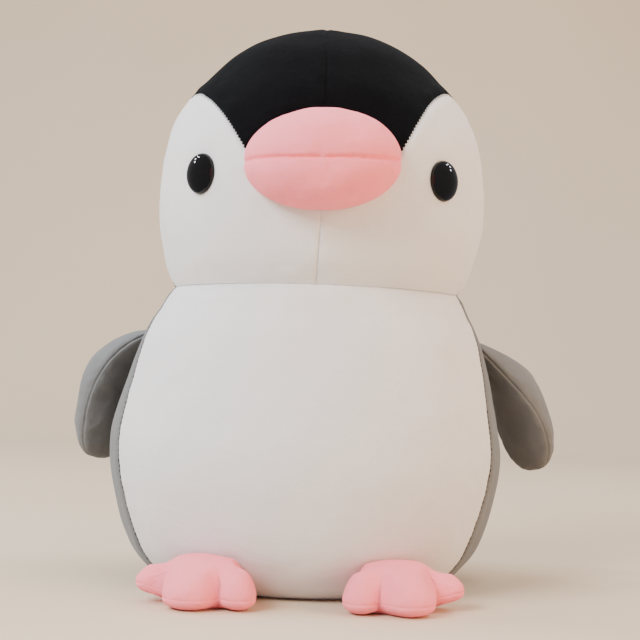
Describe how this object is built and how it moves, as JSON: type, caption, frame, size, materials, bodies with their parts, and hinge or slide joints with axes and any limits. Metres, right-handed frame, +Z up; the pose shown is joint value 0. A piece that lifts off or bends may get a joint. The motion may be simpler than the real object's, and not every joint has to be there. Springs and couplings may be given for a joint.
{
  "type": "plush penguin",
  "caption": "Pear-shaped stuffed penguin with a black hood, white face and belly, grey back, sewn pink beak and feet, domed eyes and flapping leaf-shaped wings.",
  "frame": {"origin": "middle of the flat base panel, on the floor", "axes": "+Z up, the penguin faces -Y, +X is the penguin's left"},
  "size_m": [0.3995, 0.2977, 0.4499],
  "materials": {
    "white_cloth": "matte",
    "black_cloth": "matte",
    "grey_cloth": "matte",
    "pink_cloth": "matte",
    "fibre_fill": "matte",
    "black_plastic": "gloss",
    "white_plastic": "satin"
  },
  "bodies": {
    "torso": {"head_filling": "fibre_fill", "body_filling": "fibre_fill", "hood_panel_left": "black_cloth", "hood_panel_right": "black_cloth", "face_panel_left": "white_cloth", "face_panel_right": "white_cloth", "belly_panel": "white_cloth", "back_panel_left": "grey_cloth", "back_panel_right": "grey_cloth", "base_panel": "white_cloth", "beak_upper": "pink_cloth", "beak_lower": "pink_cloth", "beak_filling": "fibre_fill", "eye_left": "black_plastic", "eye_right": "black_plastic", "eye_washer_left": "white_plastic", "eye_washer_right": "white_plastic"},
    "wing_left": {"wing_left_outer": "grey_cloth", "wing_left_inner": "grey_cloth", "wing_left_filling": "fibre_fill"},
    "wing_right": {"wing_right_outer": "grey_cloth", "wing_right_inner": "grey_cloth", "wing_right_filling": "fibre_fill"},
    "foot_left": {"foot_left_upper": "pink_cloth", "foot_left_sole": "pink_cloth", "foot_left_filling": "fibre_fill"},
    "foot_right": {"foot_right_upper": "pink_cloth", "foot_right_sole": "pink_cloth", "foot_right_filling": "fibre_fill"}
  },
  "joints": [
    {"name": "wing_left_flap", "type": "hinge", "parent": "torso", "child": "wing_left", "pos_m": [0.13281, 0.0334, 0.198], "axis": [0.342, -0.9397, 0], "range_deg": [-8, 115], "stiffness_Nm_per_rad": 0.02, "springref_deg": 1.95},
    {"name": "wing_right_flap", "type": "hinge", "parent": "torso", "child": "wing_right", "pos_m": [-0.13281, 0.0334, 0.198], "axis": [0.342, 0.9397, 0], "range_deg": [-4, 115], "stiffness_Nm_per_rad": 0.02, "springref_deg": 1.66},
    {"name": "foot_left_bend", "type": "hinge", "parent": "torso", "child": "foot_left", "pos_m": [0.062, -0.0945, 0.009], "axis": [-0.9397, -0.342, 0], "range_deg": [0, 12], "stiffness_Nm_per_rad": 0.04, "springref_deg": -5.73},
    {"name": "foot_right_bend", "type": "hinge", "parent": "torso", "child": "foot_right", "pos_m": [-0.062, -0.0945, 0.009], "axis": [-0.9397, 0.342, 0], "range_deg": [0, 12], "stiffness_Nm_per_rad": 0.04, "springref_deg": -5.73}
  ]
}
